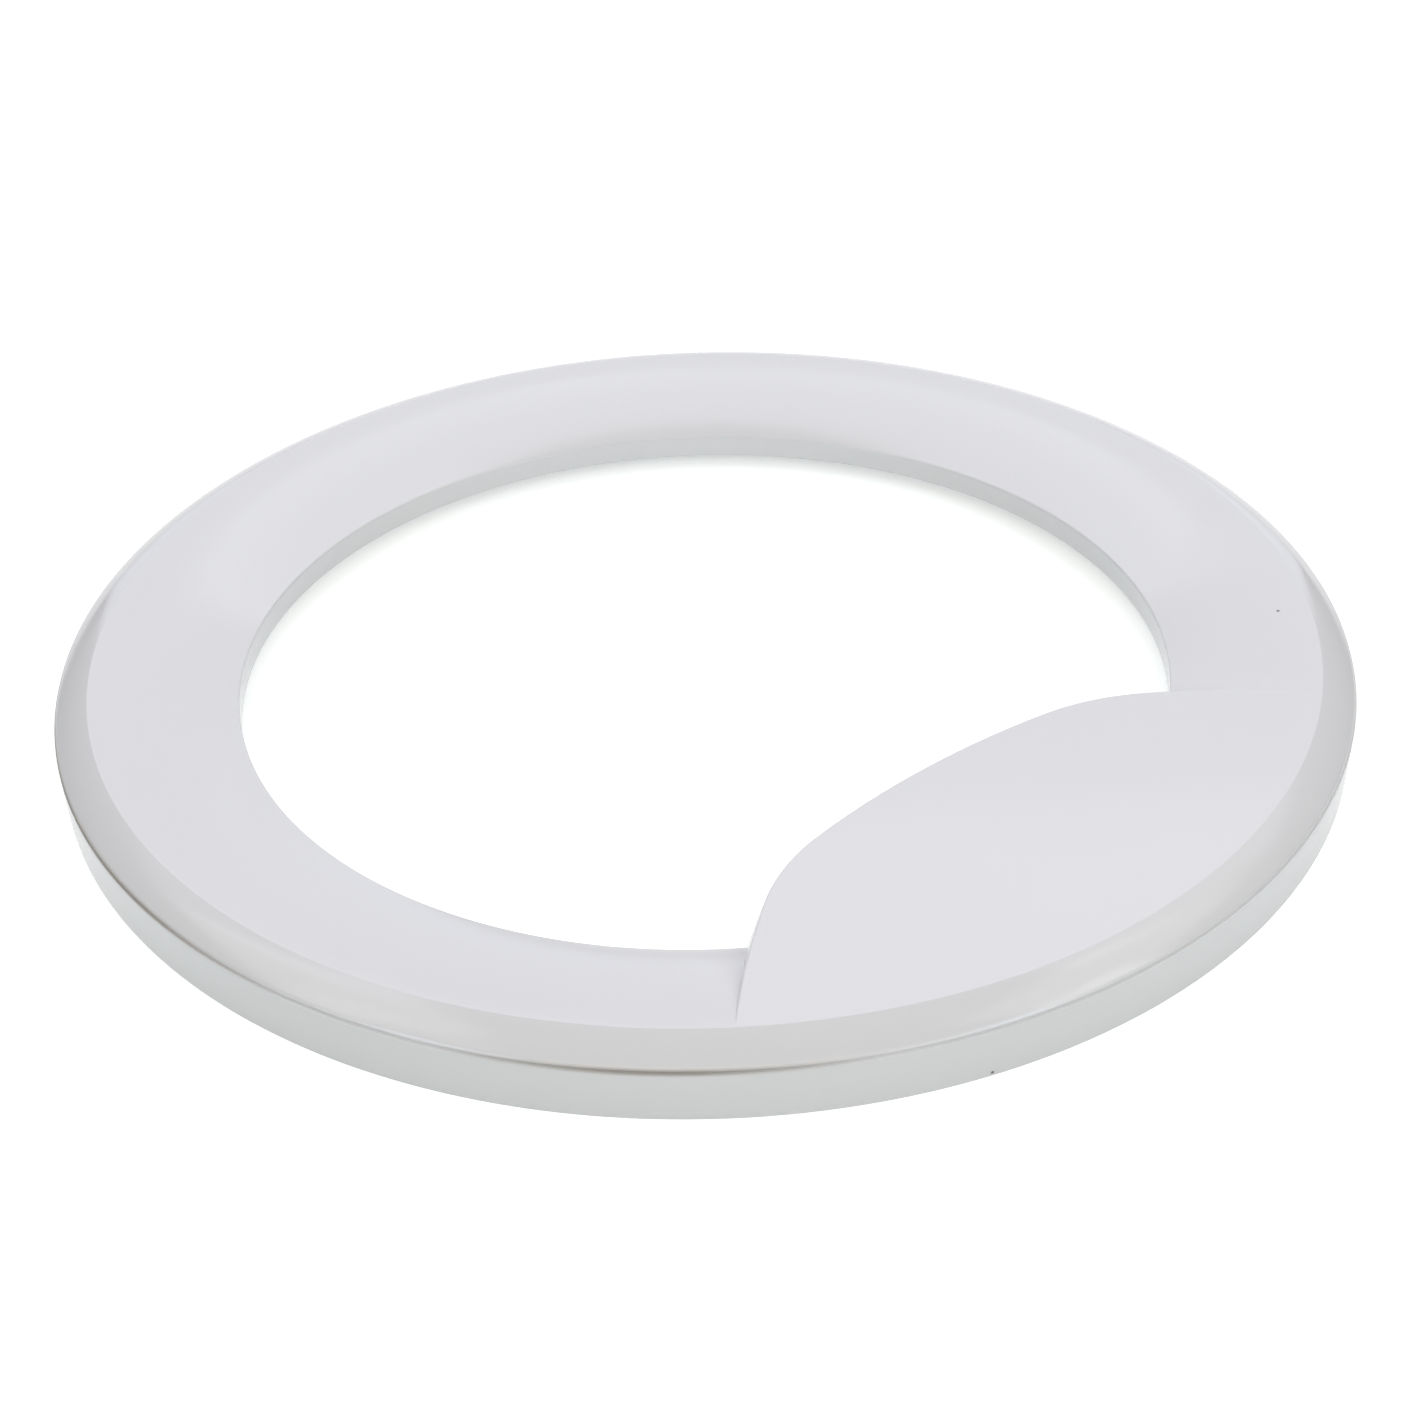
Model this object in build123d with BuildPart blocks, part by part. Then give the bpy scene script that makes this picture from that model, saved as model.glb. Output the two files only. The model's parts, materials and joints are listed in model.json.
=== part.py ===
from build123d import *
from math import cos, radians, tan
import os

# Outer door frame of a front-loading washing machine: one white plastic moulding.
# The origin is the centre of the ring on the plane of its rear rim. +Z points out of
# the front face, and +X points from the centre of the porthole to the handle panel.

# Ring section, from the skirt over the bevel and the dished face to the porthole wall
shoulder_radius = 210.0
shoulder_height = 17.6
skirt_lean = 1.0
bevel_width = 11.2
bevel_rise = 6.0
bevel_radius = 29.0
face_radius = 140.0
porthole_radius = 151.5
porthole_edge_height = 13.0
porthole_wall_foot = 5.3
wall = 2.5

# Edges of the ring section
shoulder_rounding = 3.0
porthole_chamfer = 0.8

# Handle panel: half of its plan is three arcs that run into each other
panel_reach = 103.9
grip_arc_radius = 297.5
grip_arc_angle = 9.2
corner_arc_radius = 75.6
corner_arc_angle = 26.8
end_arc_radius = 384.0
end_arc_angle = 12.0
panel_sink = 0.05
panel_depth = 11.0
panel_draft = 18.0
panel_wall = 3.0
panel_edge_rounding = 0.8
panel_lip_chamfer = 1.0

# Rear of the channel: ribs, and bosses for the screws of the inner frame
seat_width = 15.5
rib_thickness = 1.6
rib_foot = 1.5
ribs_per_boss = 3
boss_count = 6
boss_inset = 24.0
boss_radius = 4.0
boss_foot = 1.0
screw_hole_radius = 1.7
screw_hole_depth = 12.0

# Sizes that follow from those above
rim_radius = shoulder_radius - skirt_lean
crease_radius = shoulder_radius - bevel_width
crease_height = shoulder_height + bevel_rise
panel_top = crease_height - panel_sink
panel_foot = panel_top - panel_depth
panel_ceiling = panel_top - panel_wall
panel_spread = tan(radians(panel_draft))
panel_side_wall = panel_wall / cos(radians(panel_draft))
seat_rib_radius = porthole_radius + seat_width
rib_length = rim_radius - seat_rib_radius
boss_circle_radius = shoulder_radius - boss_inset
first_boss_angle = 180 / boss_count


def ring_skin(rim_end, porthole_end):
    """Outer line of the ring section: skirt, convex bevel, dished face, porthole wall."""
    with BuildLine() as skin:
        skirt = Line(
            (rim_radius + skirt_lean * rim_end / shoulder_height, rim_end),
            (shoulder_radius, shoulder_height),
        )
        bevel = RadiusArc(skirt @ 1, (crease_radius, crease_height), -bevel_radius)
        face = RadiusArc(bevel @ 1, (porthole_radius, porthole_edge_height), -face_radius)
        Line(face @ 1, (porthole_radius, porthole_end))
    return skin.line


def panel_plan(growth):
    """Plan of the handle panel out to the crease of the ring, grown by an even margin."""
    with BuildSketch() as plan:
        with BuildLine():
            grip = JernArc((panel_reach, 0), (0, 1), grip_arc_radius, -grip_arc_angle)
            corner = JernArc(grip @ 1, grip % 1, corner_arc_radius, -corner_arc_angle)
            end = JernArc(corner @ 1, corner % 1, end_arc_radius, -end_arc_angle)
            Polyline(end @ 1, (shoulder_radius, (end @ 1).Y), (shoulder_radius, 0))
            mirror(about=Plane.XZ)
        make_face()
        Circle(crease_radius, mode=Mode.INTERSECT)
        offset(amount=growth, kind=Kind.INTERSECTION, mode=Mode.REPLACE)
    return plan.sketch


# Handle panel: a flat pad with sloping sides that reaches out over the porthole
with BuildPart() as panel:
    with BuildSketch(Plane.XY.offset(panel_foot)):
        add(panel_plan(panel_depth * panel_spread))
    extrude(amount=panel_depth, taper=panel_draft)
    top_edges = panel.edges().group_by(Axis.Z)[-1].sort_by(Axis.X)[:-1]
    lip_edges = panel.edges().group_by(Axis.Z)[0].sort_by(Axis.X)[:-1]
    fillet(top_edges, panel_edge_rounding)
    chamfer(lip_edges, panel_lip_chamfer)

# Hollow of the moulding: the channel behind the ring and the pocket behind the panel,
# less the porthole wall, the ribs and the bosses that stand in them
with BuildPart() as hollow:
    with BuildSketch(Plane.XZ):
        with BuildLine():
            open_skin = ring_skin(-2 * wall, -2 * wall)
            add(open_skin)
            Line(open_skin @ 1, open_skin @ 0)
        make_face()
        offset(amount=-wall, kind=Kind.INTERSECTION, mode=Mode.REPLACE)
    revolve(axis=Axis.Z)
    with BuildSketch(Plane.XY):
        add(panel_plan(panel_top * panel_spread - panel_side_wall))
    extrude(amount=panel_ceiling, taper=panel_draft)
    with BuildSketch(Plane.XY):
        Circle(porthole_radius + wall)
        Circle(porthole_radius, mode=Mode.SUBTRACT)
    extrude(amount=crease_height, mode=Mode.SUBTRACT)
    with BuildSketch(Plane.XY.offset(rib_foot)):
        Circle(seat_rib_radius + rib_thickness / 2)
        Circle(seat_rib_radius - rib_thickness / 2, mode=Mode.SUBTRACT)
        with PolarLocations(seat_rib_radius, boss_count * ribs_per_boss, first_boss_angle):
            Rectangle(rib_length, rib_thickness, align=(Align.MIN, Align.CENTER))
    extrude(amount=crease_height, mode=Mode.SUBTRACT)
    with BuildSketch(Plane.XY.offset(boss_foot)):
        with PolarLocations(boss_circle_radius, boss_count, first_boss_angle):
            Circle(boss_radius)
    extrude(amount=crease_height, mode=Mode.SUBTRACT)

# The moulding: ring and panel as one skin, hollowed from behind, with blind screw holes
with BuildPart() as door_frame:
    with BuildSketch(Plane.XZ) as section:
        with BuildLine():
            skin = ring_skin(0, porthole_wall_foot)
            add(skin)
            Polyline(
                skin @ 1,
                (porthole_radius + seat_width / 2, porthole_wall_foot),
                (porthole_radius + seat_width / 2, 0),
                skin @ 0,
            )
        make_face()
        shoulder = section.vertices().sort_by_distance((shoulder_radius, shoulder_height))[0]
        fillet(shoulder, shoulder_rounding)
        porthole_edge = section.vertices().sort_by_distance((porthole_radius, porthole_edge_height))[0]
        chamfer(porthole_edge, porthole_chamfer)
    revolve(axis=Axis.Z)
    add(panel.part)
    add(hollow.part, mode=Mode.SUBTRACT)
    with BuildSketch(Plane.XY.offset(boss_foot)):
        with PolarLocations(boss_circle_radius, boss_count, first_boss_angle):
            Circle(screw_hole_radius)
    extrude(amount=screw_hole_depth, mode=Mode.SUBTRACT)

os.makedirs("parts", exist_ok=True)
door_frame.part.label = "door_frame"
export_step(door_frame.part, "parts/door_frame.step")
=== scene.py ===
import json
from math import atan2, cos, pi, radians, sin, tan

import bmesh
import bpy
from mathutils import Matrix, Vector
from mathutils.geometry import intersect_line_sphere_2d, intersect_sphere_sphere_2d


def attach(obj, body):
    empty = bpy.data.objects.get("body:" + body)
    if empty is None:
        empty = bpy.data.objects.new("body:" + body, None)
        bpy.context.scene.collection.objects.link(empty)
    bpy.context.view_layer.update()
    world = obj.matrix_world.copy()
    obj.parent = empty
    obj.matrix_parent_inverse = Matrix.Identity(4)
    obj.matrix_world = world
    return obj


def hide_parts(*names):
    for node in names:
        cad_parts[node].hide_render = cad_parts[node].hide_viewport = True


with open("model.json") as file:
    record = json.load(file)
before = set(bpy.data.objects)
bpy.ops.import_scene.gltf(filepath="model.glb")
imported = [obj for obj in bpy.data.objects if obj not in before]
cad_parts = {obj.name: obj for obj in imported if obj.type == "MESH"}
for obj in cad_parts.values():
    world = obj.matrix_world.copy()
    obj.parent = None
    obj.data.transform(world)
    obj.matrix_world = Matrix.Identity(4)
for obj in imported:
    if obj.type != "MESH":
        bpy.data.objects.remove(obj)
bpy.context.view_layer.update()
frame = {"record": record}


# White plastic of the moulding: a glossy injection-moulded plastic, coloured through.
# The tool's polish leaves a faint ripple, and two specks of dust lie on the face and the skirt.
# Sizes of the moulding are in millimetres, and heights start at its rear rim.
MM = 0.001
cloudy_white = (0.762, 0.762, 0.768, 1.0)
clear_white = (0.782, 0.781, 0.786, 1.0)
smoothest = 0.12
roughest = 0.16
ripple_strength = 0.03
ripple_height = 1.0
plastic_ior = 1.5
dust_colour = (0.16, 0.16, 0.17, 1.0)
dust_specks = [(116.9, 147.9, 23.0), (199.0, -65.1, 1.2)]
dust_full = 0.4
dust_reach = 0.8


def wire(tree, kind, inputs, **settings):
    """Adds a node with its settings, and sets or links each of its inputs."""
    node = tree.nodes.new(kind)
    for name, value in settings.items():
        setattr(node, name, value)
    for key, value in inputs.items():
        if isinstance(value, bpy.types.NodeSocket):
            tree.links.new(value, node.inputs[key])
        else:
            node.inputs[key].default_value = value
    return node


white_plastic = bpy.data.materials.new("White moulded plastic")
white_plastic.use_nodes = True
plastic_nodes = white_plastic.node_tree
plastic_shader = plastic_nodes.nodes["Principled BSDF"]
plastic_place = wire(plastic_nodes, "ShaderNodeTexCoord", {}).outputs["Object"]


def plastic_noise(scale, detail):
    """Soft uneven pattern all through the plastic."""
    return wire(
        plastic_nodes,
        "ShaderNodeTexNoise",
        {"Vector": plastic_place, "Scale": scale, "Detail": detail},
    ).outputs[0]


def laid_over(under, cover, over):
    """Colour with another laid over it, as far as a cover goes."""
    return wire(
        plastic_nodes,
        "ShaderNodeMix",
        {"Factor": cover, "A": under, "B": over},
        data_type="RGBA",
    ).outputs[2]


def cover_near(place, centre, full, reach):
    """Cover that is whole within a distance of a centre and fades out at its reach."""
    away = wire(
        plastic_nodes,
        "ShaderNodeVectorMath",
        {0: place, 1: Vector(centre) * MM},
        operation="DISTANCE",
    ).outputs["Value"]
    return wire(
        plastic_nodes,
        "ShaderNodeMapRange",
        {"Value": away, "From Min": full * MM, "From Max": reach * MM, "To Min": 1.0, "To Max": 0.0},
    ).outputs[0]


tone = laid_over(cloudy_white, plastic_noise(scale=9.0, detail=3.0), clear_white)
for speck in dust_specks:
    tone = laid_over(tone, cover_near(plastic_place, speck, dust_full, dust_reach), dust_colour)
plastic_nodes.links.new(tone, plastic_shader.inputs["Base Color"])
haze = plastic_noise(scale=30.0, detail=2.0)
gloss = wire(
    plastic_nodes,
    "ShaderNodeMapRange",
    {"Value": haze, "From Min": 0.3, "From Max": 0.7, "To Min": smoothest, "To Max": roughest},
).outputs[0]
plastic_nodes.links.new(gloss, plastic_shader.inputs["Roughness"])
ripple = plastic_noise(scale=70.0, detail=1.0)
relief = wire(
    plastic_nodes,
    "ShaderNodeBump",
    {"Height": ripple, "Strength": ripple_strength, "Distance": ripple_height * MM},
).outputs[0]
plastic_nodes.links.new(relief, plastic_shader.inputs["Normal"])
plastic_shader.inputs["IOR"].default_value = plastic_ior


# Ring of the door frame: the broad moulding round the porthole, of glossy white plastic.
# A leaning skirt, a convex bevel and a dished face turn about one axis, and the frame
# rests on the rear rim of the skirt.
ring_segments = 360
rim = Vector((209.0, 0.0))
shoulder = Vector((210.0, 17.6))
crease = Vector((198.8, 23.6))
porthole_edge = Vector((151.5, 13.0))
porthole_wall_foot = 5.3
seat_width = 15.5
bevel_radius = 29.0
face_radius = 140.0
shoulder_rounding = 3.0
crease_rounding = 1.0
porthole_rounding = 1.0
shoulder_steps = 10
bevel_steps = 10
crease_steps = 4
face_steps = 22
porthole_steps = 8
weld_gap = 0.001


def lower(points):
    """The lower of two points of a section."""
    return min(points, key=lambda point: point.y)


def nearest(points, target):
    """The point that lies closest to a target."""
    return min(points, key=lambda point: (point - target).length)


def bearing(centre, point):
    """Angle at which a point is seen from a centre."""
    return atan2(point.y - centre.y, point.x - centre.x)


def turn(centre, radius, start, end, steps):
    """Points on an arc about a centre, from one angle to another."""
    angles = [start + (end - start) * step / steps for step in range(steps + 1)]
    return [centre + radius * Vector((cos(angle), sin(angle))) for angle in angles]


bevel_centre = lower(intersect_sphere_sphere_2d(shoulder, bevel_radius, crease, bevel_radius))
face_centre = lower(intersect_sphere_sphere_2d(crease, face_radius, porthole_edge, face_radius))
skirt_normal = Vector((shoulder.y - rim.y, rim.x - shoulder.x)).normalized()


def shoulder_at(depth):
    """Corner of the skirt and the bevel, both set back into the plastic by a depth."""
    foot = rim - depth * skirt_normal
    head = shoulder - depth * skirt_normal
    meeting = intersect_line_sphere_2d(foot, head, bevel_centre, bevel_radius - depth, False)
    return nearest(meeting, shoulder)


def crease_at(depth):
    """Corner of the bevel and the face, both set back into the plastic by a depth."""
    bevel_line = bevel_radius - depth
    face_line = face_radius - depth
    meeting = intersect_sphere_sphere_2d(bevel_centre, bevel_line, face_centre, face_line)
    return nearest(meeting, crease)


def porthole_edge_at(depth):
    """Corner of the face and the porthole wall, both set back into the plastic by a depth."""
    foot = Vector((porthole_edge.x + depth, 0.0))
    head = Vector((porthole_edge.x + depth, porthole_edge.y))
    meeting = intersect_line_sphere_2d(foot, head, face_centre, face_radius - depth, False)
    return nearest(meeting, porthole_edge)


def skin_line(depth, shoulder_round, crease_round, edge_round):
    """Section line at a depth under the skin, from the skirt over the face to the porthole wall."""
    shoulder_turn = shoulder_at(depth + shoulder_round)
    crease_turn = crease_at(depth + crease_round)
    edge_turn = porthole_edge_at(depth + edge_round)
    bends = [
        atan2(skirt_normal.y, skirt_normal.x),
        bearing(bevel_centre, shoulder_turn),
        bearing(bevel_centre, crease_turn),
        bearing(face_centre, crease_turn),
        bearing(face_centre, edge_turn),
        pi,
    ]
    arcs = [
        (shoulder_turn, shoulder_round, shoulder_steps),
        (bevel_centre, bevel_radius - depth, bevel_steps),
        (crease_turn, crease_round, crease_steps),
        (face_centre, face_radius - depth, face_steps),
        (edge_turn, edge_round, porthole_steps),
    ]
    points = []
    for (centre, radius, steps), start, end in zip(arcs, bends, bends[1:]):
        points = points[:-1] + turn(centre, radius, start, end, steps)
    return points


# Tree that turns a section about the axis of the ring, in even steps
turned_section = bpy.data.node_groups.new("Turned section", "GeometryNodeTree")
turned_section.interface.new_socket("Section", in_out="INPUT", socket_type="NodeSocketGeometry")
turned_section.interface.new_socket("Segments", in_out="INPUT", socket_type="NodeSocketInt")
turned_section.interface.new_socket("Plastic", in_out="INPUT", socket_type="NodeSocketMaterial")
turned_section.interface.new_socket("Turned", in_out="OUTPUT", socket_type="NodeSocketGeometry")
given = wire(turned_section, "NodeGroupInput", {}).outputs
section_points = wire(
    turned_section,
    "GeometryNodeAttributeDomainSize",
    {"Geometry": given["Section"]},
    component="MESH",
).outputs["Point Count"]
columns = wire(
    turned_section,
    "FunctionNodeIntegerMath",
    {0: given["Segments"], 1: 1},
    operation="ADD",
).outputs[0]
sheet = wire(
    turned_section,
    "GeometryNodeMeshGrid",
    {"Vertices X": section_points, "Vertices Y": columns},
).outputs["Mesh"]
index = wire(turned_section, "GeometryNodeInputIndex", {}).outputs[0]
row = wire(
    turned_section,
    "FunctionNodeIntegerMath",
    {0: index, 1: columns},
    operation="DIVIDE_FLOOR",
).outputs[0]
column = wire(
    turned_section,
    "FunctionNodeIntegerMath",
    {0: index, 1: columns},
    operation="MODULO",
).outputs[0]
here = wire(turned_section, "GeometryNodeInputPosition", {}).outputs[0]
section_place = wire(
    turned_section,
    "GeometryNodeSampleIndex",
    {"Geometry": given["Section"], "Value": here, "Index": row},
    data_type="FLOAT_VECTOR",
).outputs[0]
share = wire(
    turned_section,
    "ShaderNodeMath",
    {0: column, 1: given["Segments"]},
    operation="DIVIDE",
).outputs[0]
angle = wire(
    turned_section,
    "ShaderNodeMath",
    {0: share, 1: 2 * pi},
    operation="MULTIPLY",
).outputs[0]
turned = wire(
    turned_section,
    "ShaderNodeVectorRotate",
    {"Vector": section_place, "Angle": angle},
    rotation_type="Z_AXIS",
).outputs[0]
placed = wire(
    turned_section,
    "GeometryNodeSetPosition",
    {"Geometry": sheet, "Position": turned},
).outputs[0]
closed = wire(
    turned_section,
    "GeometryNodeMergeByDistance",
    {"Geometry": placed, "Distance": weld_gap * MM},
).outputs[0]
outward = wire(turned_section, "GeometryNodeFlipFaces", {"Mesh": closed}).outputs[0]
whole = wire(turned_section, "GeometryNodeRealizeInstances", {"Geometry": outward}).outputs[0]
finished = wire(
    turned_section,
    "GeometryNodeSetMaterial",
    {"Geometry": whole, "Material": given["Plastic"]},
).outputs[0]
wire(turned_section, "NodeGroupOutput", {"Turned": finished})


def set_inputs(modifier, values):
    """Sets the named inputs of a Geometry Nodes modifier by their identifiers."""
    for socket in modifier.node_group.interface.items_tree:
        if socket.in_out == "INPUT" and socket.name in values:
            modifier[socket.identifier] = values[socket.name]


def linked(name, shape):
    """Mesh object made from a bmesh, linked into the scene."""
    mesh = bpy.data.meshes.new(name)
    shape.to_mesh(mesh)
    shape.free()
    piece = bpy.data.objects.new(name, mesh)
    bpy.context.scene.collection.objects.link(piece)
    return piece


def plain(piece):
    """Turns a piece with modifiers into a plain mesh."""
    graph = bpy.context.evaluated_depsgraph_get()
    mesh = bpy.data.meshes.new_from_object(
        piece.evaluated_get(graph),
        preserve_all_data_layers=True,
        depsgraph=graph,
    )
    piece.modifiers.clear()
    piece.data = mesh
    return piece


def turned_piece(name, section):
    """Closed section, as points of radius and height, turned about the axis of the ring."""
    shape = bmesh.new()
    points = [shape.verts.new((point.x * MM, 0.0, point.y * MM)) for point in section + section[:1]]
    for start, end in zip(points, points[1:]):
        shape.edges.new((start, end))
    piece = linked(name, shape)
    modifier = piece.modifiers.new("Turned section", "NODES")
    modifier.node_group = turned_section
    set_inputs(modifier, {"Segments": ring_segments, "Plastic": white_plastic})
    return plain(piece)


ring_section = [rim]
ring_section += skin_line(0.0, shoulder_rounding, crease_rounding, porthole_rounding)
ring_section += [
    Vector((porthole_edge.x, porthole_wall_foot)),
    Vector((porthole_edge.x + seat_width / 2, porthole_wall_foot)),
    Vector((porthole_edge.x + seat_width / 2, rim.y)),
]
door_frame = turned_piece("door_frame_moulding", ring_section)


# Handle panel: a flat pad moulded in one with the ring, flush with the crease and carried out
# over the porthole on sloping sides, so that the fingers reach in behind its open edge.
# Half of its plan is three arcs that run into each other, and the last ends at the crease.
panel_reach = 103.9
panel_arcs = [(297.5, radians(9.2), 16), (75.6, radians(26.8), 32)]
panel_end_radius = 384.0
panel_end_steps = 32
panel_crease_steps = 60
panel_bend_steps = 6
panel_sink = 0.05
panel_depth = 11.0
panel_top = crease.y - panel_sink
panel_foot = panel_top - panel_depth
panel_draft = radians(18.0)
panel_wall = 3.0
panel_edge_rounding = 0.8
panel_lip_rounding = 1.0
ring_axis = Vector((0.0, 0.0))


def panel_outline(growth):
    """Plan of the panel out to the crease of the ring, grown by an even margin."""
    bend = pi
    centre = Vector((panel_reach, 0.0))
    last_radius = 0.0
    outline = []
    for radius, angle, steps in panel_arcs:
        centre = centre + (last_radius - radius) * Vector((cos(bend), sin(bend)))
        arc = turn(centre, radius + growth, bend, bend - angle, steps)
        outline += arc[1:] if outline else arc
        bend = bend - angle
        last_radius = radius
    centre = centre + (last_radius - panel_end_radius) * Vector((cos(bend), sin(bend)))
    end_radius = panel_end_radius + growth
    crease_radius = crease.x + growth
    meeting = intersect_sphere_sphere_2d(centre, end_radius, ring_axis, crease_radius)
    end = bearing(centre, max(meeting, key=lambda point: point.y))
    outline += turn(centre, end_radius, bend, end, panel_end_steps)[1:]
    reach = bearing(ring_axis, outline[-1])
    along_crease = turn(ring_axis, crease_radius, reach, -reach, panel_crease_steps)[1:-1]
    mirrored = [Vector((point.x, -point.y)) for point in reversed(outline[1:])]
    return outline + along_crease + mirrored


def panel_side(height, depth):
    """Growth of the plan at a height, for the sloping side set back by a depth."""
    return (panel_top - height) * tan(panel_draft) - depth / cos(panel_draft)


def lofted(name, levels):
    """Closed piece whose outline is the panel's plan, grown to each level's margin and height."""
    shape = bmesh.new()
    rings = []
    for growth, height in levels:
        outline = panel_outline(growth)
        rings.append([shape.verts.new((point.x * MM, point.y * MM, height * MM)) for point in outline])
    for below, above in zip(rings, rings[1:]):
        for start in range(len(below)):
            end = (start + 1) % len(below)
            shape.faces.new((below[start], above[start], above[end], below[end]))
    shape.faces.new(rings[0])
    shape.faces.new(list(reversed(rings[-1])))
    bmesh.ops.recalc_face_normals(shape, faces=shape.faces)
    return linked(name, shape)


def panel_bend(height, rounding, start, end):
    """Levels of a rounded edge of the panel, between two directions of its surface."""
    centre = Vector((panel_side(height, rounding), height))
    return [tuple(point) for point in turn(centre, rounding, start, end, panel_bend_steps)]


panel_levels = panel_bend(panel_foot + panel_lip_rounding, panel_lip_rounding, -pi / 2, panel_draft)
panel_levels += panel_bend(panel_top - panel_edge_rounding, panel_edge_rounding, panel_draft, pi / 2)
panel = lofted("handle_panel", panel_levels)


# Hollow behind the moulding: the channel in the back of the ring and the finger pocket in the
# back of the panel, an even wall under the skin, with the porthole wall standing between them.
wall = 2.5
hollow_foot = -wall
inner_rounding = 0.6
skirt_foot = rim - wall * skirt_normal
channel_section = [Vector((skirt_foot.x, hollow_foot))]
channel_section += skin_line(wall, inner_rounding, inner_rounding, inner_rounding)
channel_section += [Vector((porthole_edge.x + wall, hollow_foot))]
hollow = turned_piece("hollow", channel_section)

pocket_ceiling = panel_top - panel_wall
pocket_levels = [(panel_side(height, panel_wall), height) for height in (hollow_foot, pocket_ceiling)]
pocket = lofted("finger_pocket", pocket_levels)

porthole_wall = turned_piece(
    "porthole_wall",
    [
        Vector((porthole_edge.x + wall, 2 * hollow_foot)),
        Vector((porthole_edge.x + wall, crease.y)),
        Vector((porthole_edge.x, crease.y)),
        Vector((porthole_edge.x, 2 * hollow_foot)),
    ],
)


# Ribs and screw bosses: thin ribs that stiffen the back of the ring, moulded with it.
# A round seat rib carries the radial ones, and each third rib holds a boss with a blind
# hole for a screw of the inner frame.
screw_mount = next(mount for mount in frame["record"]["mounts"] if mount["kind"] == "bolt_pattern")
boss_count = screw_mount["dims"]["count"]
boss_circle = screw_mount["dims"]["pcd_mm"] / 2
boss_foot = screw_mount["pos_m"][2] / MM
boss_radius = 4.0
screw_hole_radius = screw_mount["dims"]["hole_r_mm"]
screw_hole_depth = 12.0
ribs_per_boss = 3
rib_count = ribs_per_boss * boss_count
rib_thickness = 1.6
rib_foot = 1.5
seat_rib = porthole_edge.x + seat_width
first_boss = pi / boss_count
round_steps = 40

# Tree that repeats a piece round the ring, from a first angle on
ring_pattern = bpy.data.node_groups.new("Pattern round the ring", "GeometryNodeTree")
ring_pattern.interface.new_socket("Piece", in_out="INPUT", socket_type="NodeSocketGeometry")
ring_pattern.interface.new_socket("Count", in_out="INPUT", socket_type="NodeSocketInt")
ring_pattern.interface.new_socket("First angle", in_out="INPUT", socket_type="NodeSocketFloat")
ring_pattern.interface.new_socket("Plastic", in_out="INPUT", socket_type="NodeSocketMaterial")
ring_pattern.interface.new_socket("Pattern", in_out="OUTPUT", socket_type="NodeSocketGeometry")
given = wire(ring_pattern, "NodeGroupInput", {}).outputs
seats = wire(ring_pattern, "GeometryNodePoints", {"Count": given["Count"]}).outputs[0]
index = wire(ring_pattern, "GeometryNodeInputIndex", {}).outputs[0]
share = wire(
    ring_pattern,
    "ShaderNodeMath",
    {0: index, 1: given["Count"]},
    operation="DIVIDE",
).outputs[0]
angle = wire(
    ring_pattern,
    "ShaderNodeMath",
    {0: share, 1: 2 * pi, 2: given["First angle"]},
    operation="MULTIPLY_ADD",
).outputs[0]
spin = wire(
    ring_pattern,
    "FunctionNodeAxisAngleToRotation",
    {"Axis": (0.0, 0.0, 1.0), "Angle": angle},
).outputs[0]
copies = wire(
    ring_pattern,
    "GeometryNodeInstanceOnPoints",
    {"Points": seats, "Instance": given["Piece"], "Rotation": spin},
).outputs[0]
whole = wire(ring_pattern, "GeometryNodeRealizeInstances", {"Geometry": copies}).outputs[0]
finished = wire(
    ring_pattern,
    "GeometryNodeSetMaterial",
    {"Geometry": whole, "Material": given["Plastic"]},
).outputs[0]
wire(ring_pattern, "NodeGroupOutput", {"Pattern": finished})


def patterned(name, plan, foot, height, count):
    """Upright pieces of one plan, repeated round the ring from the first boss on."""
    shape = bmesh.new()
    below = [shape.verts.new((point.x * MM, point.y * MM, foot * MM)) for point in plan]
    above = [shape.verts.new((point.x * MM, point.y * MM, (foot + height) * MM)) for point in plan]
    for start in range(len(plan)):
        end = (start + 1) % len(plan)
        shape.faces.new((below[start], below[end], above[end], above[start]))
    shape.faces.new(list(reversed(below)))
    shape.faces.new(above)
    bmesh.ops.recalc_face_normals(shape, faces=shape.faces)
    piece = linked(name, shape)
    modifier = piece.modifiers.new("Pattern round the ring", "NODES")
    modifier.node_group = ring_pattern
    set_inputs(modifier, {"Count": count, "First angle": first_boss, "Plastic": white_plastic})
    return plain(piece)


def disc(radius):
    """Round plan on the circle of the screws."""
    return turn(Vector((boss_circle, 0.0)), radius, 0.0, 2 * pi, round_steps)[:-1]


half_rib = rib_thickness / 2
rib_plan = [
    Vector((seat_rib, -half_rib)),
    Vector((rim.x, -half_rib)),
    Vector((rim.x, half_rib)),
    Vector((seat_rib, half_rib)),
]
ribs = patterned("ribs", rib_plan, rib_foot, crease.y, rib_count)
bosses = patterned("screw_bosses", disc(boss_radius), boss_foot, crease.y, boss_count)
screw_hole_plan = disc(screw_hole_radius)
screw_hole_length = boss_foot + screw_hole_depth - hollow_foot
screw_holes = patterned("screw_holes", screw_hole_plan, hollow_foot, screw_hole_length, boss_count)
seat = turned_piece(
    "seat_rib",
    [
        Vector((seat_rib + half_rib, rib_foot)),
        Vector((seat_rib + half_rib, rib_foot + crease.y)),
        Vector((seat_rib - half_rib, rib_foot + crease.y)),
        Vector((seat_rib - half_rib, rib_foot)),
    ],
)


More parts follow.
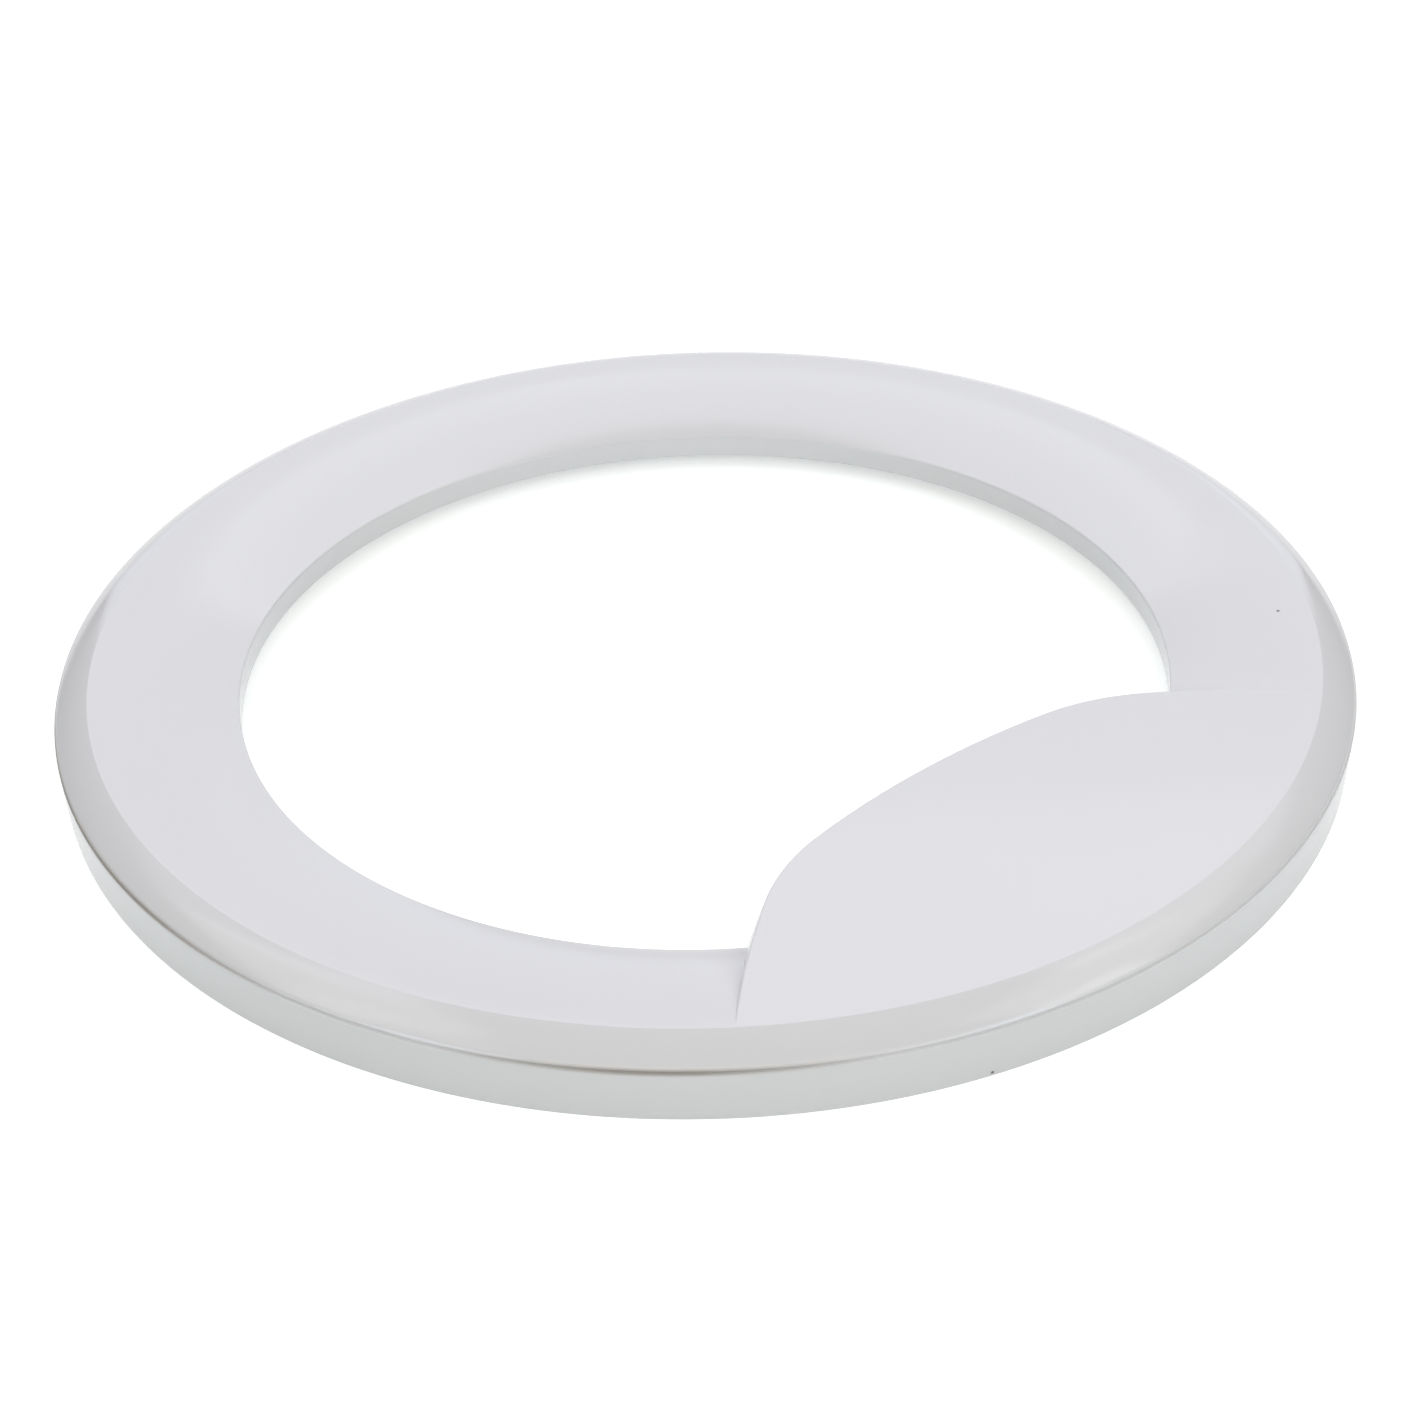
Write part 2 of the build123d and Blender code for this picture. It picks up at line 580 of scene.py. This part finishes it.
# Witness line: a fine groove round the shoulder, where the halves of the mould met. It was left
# as moulded, and shows as a thin dark line between the skirt and the bevel. Shade is painted
# into it in two stretches on the side towards the camera.
witness_slope = radians(18.0)
witness_width = 0.9
witness_depth = 0.7
witness_clearance = 0.3
witness_out = Vector((cos(witness_slope), sin(witness_slope)))
witness_along = Vector((-sin(witness_slope), cos(witness_slope)))
witness_seat = shoulder_at(shoulder_rounding) + shoulder_rounding * witness_out
witness_reach = witness_seat + witness_clearance * witness_out
witness_half = witness_width / 2 * (1.0 + witness_clearance / witness_depth)
witness_line = turned_piece(
    "witness_line",
    [
        witness_reach - witness_half * witness_along,
        witness_reach + witness_half * witness_along,
        witness_seat - witness_depth * witness_out,
    ],
)

# Painted shade along the groove, in a grey-brown: each stretch of it has its angle, and the distances
# at which it is whole and at its end
painted_shade_colour = (0.49, 0.465, 0.435, 1.0)
painted_shade_stretches = [(radians(255.0), 50.0, 110.0), (radians(316.0), 10.0, 62.0)]
# Reach of the mask along the groove, which carries both the painted shade and the duller gloss
line_full = 0.6
line_reach = 1.4
line_dulling = 0.35
flat_place = wire(
    plastic_nodes,
    "ShaderNodeVectorMath",
    {0: plastic_place, 1: (1.0, 1.0, 0.0)},
    operation="MULTIPLY",
).outputs[0]
radius_here = wire(
    plastic_nodes,
    "ShaderNodeVectorMath",
    {0: flat_place},
    operation="LENGTH",
).outputs["Value"]
height_here = wire(plastic_nodes, "ShaderNodeSeparateXYZ", {0: plastic_place}).outputs["Z"]
section_here = wire(
    plastic_nodes,
    "ShaderNodeCombineXYZ",
    {"X": radius_here, "Y": height_here},
).outputs[0]
along_line = cover_near(section_here, witness_seat.to_3d(), line_full, line_reach)
# Painted shade: each stretch darkens the groove towards a grey-brown, standing in for the shade that
# falls in it
for angle, full, reach in painted_shade_stretches:
    middle = (witness_seat.x * cos(angle), witness_seat.x * sin(angle), witness_seat.y)
    painted_shade = wire(
        plastic_nodes,
        "ShaderNodeMath",
        {0: along_line, 1: cover_near(plastic_place, middle, full, reach)},
        operation="MULTIPLY",
    ).outputs[0]
    tone = laid_over(tone, painted_shade, painted_shade_colour)
plastic_nodes.links.new(tone, plastic_shader.inputs["Base Color"])
dulled = wire(
    plastic_nodes,
    "ShaderNodeMath",
    {0: along_line, 1: line_dulling, 2: gloss},
    operation="MULTIPLY_ADD",
).outputs[0]
plastic_nodes.links.new(dulled, plastic_shader.inputs["Roughness"])


# The finished moulding: ring and panel are one skin, hollowed from behind round the ribs,
# the bosses and the porthole wall. Edges sharper than the skin's own curve stay crisp.
sharp_edge = radians(14.0)
seam_gap = 0.01


def combine(piece, tools):
    """Joins each tool to a piece or cuts it out, and takes the tool away."""
    for tool, operation in tools:
        modifier = piece.modifiers.new(tool.name, "BOOLEAN")
        modifier.solver = "MANIFOLD"
        modifier.operation = operation
        modifier.object = tool
    plain(piece)
    for tool, operation in tools:
        bpy.data.objects.remove(tool)


combine(hollow, [(pocket, "UNION"), (porthole_wall, "DIFFERENCE"), (seat, "DIFFERENCE")])
combine(hollow, [(ribs, "DIFFERENCE"), (bosses, "DIFFERENCE")])
combine(door_frame, [(panel, "UNION"), (hollow, "DIFFERENCE"), (screw_holes, "DIFFERENCE")])
combine(door_frame, [(witness_line, "DIFFERENCE")])
shape = bmesh.new()
shape.from_mesh(door_frame.data)
bmesh.ops.remove_doubles(shape, verts=shape.verts, dist=seam_gap * MM)
bmesh.ops.dissolve_degenerate(shape, edges=shape.edges, dist=seam_gap * MM)
shape.to_mesh(door_frame.data)
shape.free()
door_frame.data.materials.clear()
door_frame.data.materials.append(white_plastic)
door_frame.data.shade_smooth()
door_frame.data.set_sharp_from_angle(angle=sharp_edge)
weighted = door_frame.modifiers.new("Even shading", "WEIGHTED_NORMAL")
weighted.keep_sharp = True
plain(door_frame)
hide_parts("door_frame")
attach(door_frame, "root")


# Floor: a plain pale table of matt white board, on which the frame lies on its back. It keeps
# the frame's soft shadow, and looks white to the camera and in the gloss of the plastic.
# Sizes of the floor, the lights and the camera are in metres.
floor_half = 15.0
board_colour = (0.90, 0.95, 0.925, 1.0)
floor_lift = 0.5
lift_start = 1.0
lift_end = 3.0
floor_white = 1.0
floor_shape = bmesh.new()
bmesh.ops.create_grid(floor_shape, x_segments=1, y_segments=1, size=floor_half)
floor = linked("floor", floor_shape)
floor_paint = bpy.data.materials.new("Pale table")
floor_paint.use_nodes = True
floor_nodes = floor_paint.node_tree
floor_nodes.nodes.clear()
ray = wire(floor_nodes, "ShaderNodeLightPath", {}).outputs
board = wire(floor_nodes, "ShaderNodeBsdfDiffuse", {"Color": board_colour}).outputs[0]
floor_place = wire(floor_nodes, "ShaderNodeTexCoord", {}).outputs["Object"]
far_off = wire(
    floor_nodes,
    "ShaderNodeVectorMath",
    {0: floor_place},
    operation="LENGTH",
).outputs["Value"]
whiteness = wire(
    floor_nodes,
    "ShaderNodeMapRange",
    {
        "Value": far_off,
        "From Min": lift_start,
        "From Max": lift_end,
        "To Min": floor_lift,
        "To Max": floor_white,
    },
).outputs[0]
lift = wire(
    floor_nodes,
    "ShaderNodeMath",
    {0: ray["Is Camera Ray"], 1: whiteness},
    operation="MULTIPLY",
).outputs[0]
glow = wire(floor_nodes, "ShaderNodeEmission", {"Strength": lift}).outputs[0]
lit_board = wire(floor_nodes, "ShaderNodeAddShader", {0: board, 1: glow}).outputs[0]
mirrored = wire(floor_nodes, "ShaderNodeEmission", {"Strength": floor_white}).outputs[0]
in_gloss = wire(
    floor_nodes,
    "ShaderNodeMath",
    {0: ray["Is Glossy Ray"], 1: ray["Is Transmission Ray"]},
    operation="MAXIMUM",
).outputs[0]
table = wire(floor_nodes, "ShaderNodeMixShader", {0: in_gloss, 1: lit_board, 2: mirrored}).outputs[0]
wire(floor_nodes, "ShaderNodeOutputMaterial", {"Surface": table})
floor.data.materials.append(floor_paint)


# Studio light: a tent of soft boxes behind the frame and at its sides, with two bright low
# ones beside the camera, in a dim room. Angles are turned from the handle, and elevations
# are taken above the table. Each box has its width, height, radiance and colour.
room_light = 0.085
room_colour = (1.0, 0.9, 0.75, 1.0)
box_distance = 2.0
white = (1.0, 1.0, 1.0)
cool = (0.97, 1.0, 1.12)
cold = (0.85, 1.0, 1.2)
warm = (1.3, 1.0, 0.65)
soft_boxes = [
    ("back_box_high", 140.0, 51.5, 1.78, 0.92, 1.9, cool),
    ("back_box_middle", 140.0, 30.5, 2.3, 0.62, 1.15, cool),
    ("back_box_low", 140.0, 12.0, 2.5, 0.70, 1.08, cool),
    ("rear_left_box", 190.0, 52.0, 1.0, 1.0, 0.55, cool),
    ("left_box_high", 228.0, 55.0, 1.15, 1.0, 1.25, white),
    ("left_box_middle", 256.0, 45.0, 0.85, 1.0, 0.78, white),
    ("left_box_low", 277.0, 27.0, 0.78, 0.56, 4.8, cold),
    ("rear_right_box", 92.0, 50.0, 1.0, 1.0, 0.82, white),
    ("right_box_high", 48.0, 52.0, 1.15, 0.85, 1.2, white),
    ("right_box_middle", 25.0, 38.0, 0.85, 0.85, 1.9, white),
    ("right_box_low", 4.0, 27.0, 0.7, 0.56, 5.4, cold),
    ("camera_box", 320.6, 40.0, 1.78, 0.7, 1.4, warm),
]
world = bpy.data.worlds.new("Studio")
world.use_nodes = True
bpy.context.scene.world = world
room = world.node_tree.nodes["Background"]
room.inputs["Color"].default_value = room_colour
room.inputs["Strength"].default_value = room_light
for name, angle, elevation, width, height, radiance, colour in soft_boxes:
    lamp = bpy.data.lights.new(name, "AREA")
    lamp.shape = "RECTANGLE"
    lamp.size = width
    lamp.size_y = height
    lamp.color = colour
    lamp.energy = radiance * pi * width * height
    soft_box = bpy.data.objects.new(name, lamp)
    bpy.context.scene.collection.objects.link(soft_box)
    around = Matrix.Rotation(radians(angle + 90.0), 4, "Z")
    upward = Matrix.Rotation(pi / 2 - radians(elevation), 4, "X")
    soft_box.matrix_world = around @ upward @ Matrix.Translation((0.0, 0.0, box_distance))


# Camera: a long lens that looks down on the front of the frame, with the handle to the right.
# It stands about a metre from the centre of the rear rim, aimed a little off it and rolled.
camera_distance = 0.9656
camera_azimuth = radians(50.6)
camera_elevation = radians(33.647)
camera_pan = radians(0.058)
camera_tilt = radians(-0.183)
camera_roll = radians(-1.787)
camera_lens = bpy.data.cameras.new("camera")
camera_lens.sensor_width = 36.0
camera_lens.lens = 74.83
camera = bpy.data.objects.new("camera", camera_lens)
bpy.context.scene.collection.objects.link(camera)
around = Matrix.Rotation(camera_azimuth, 4, "Z")
upward = Matrix.Rotation(pi / 2 - camera_elevation, 4, "X")
away = Matrix.Translation((0.0, 0.0, camera_distance))
panned = Matrix.Rotation(camera_pan, 4, "Y")
tilted = Matrix.Rotation(camera_tilt, 4, "X")
rolled = Matrix.Rotation(camera_roll, 4, "Z")
camera.matrix_world = around @ upward @ away @ (panned @ tilted @ rolled)
bpy.context.scene.camera = camera
bpy.context.scene.view_settings.view_transform = "Standard"
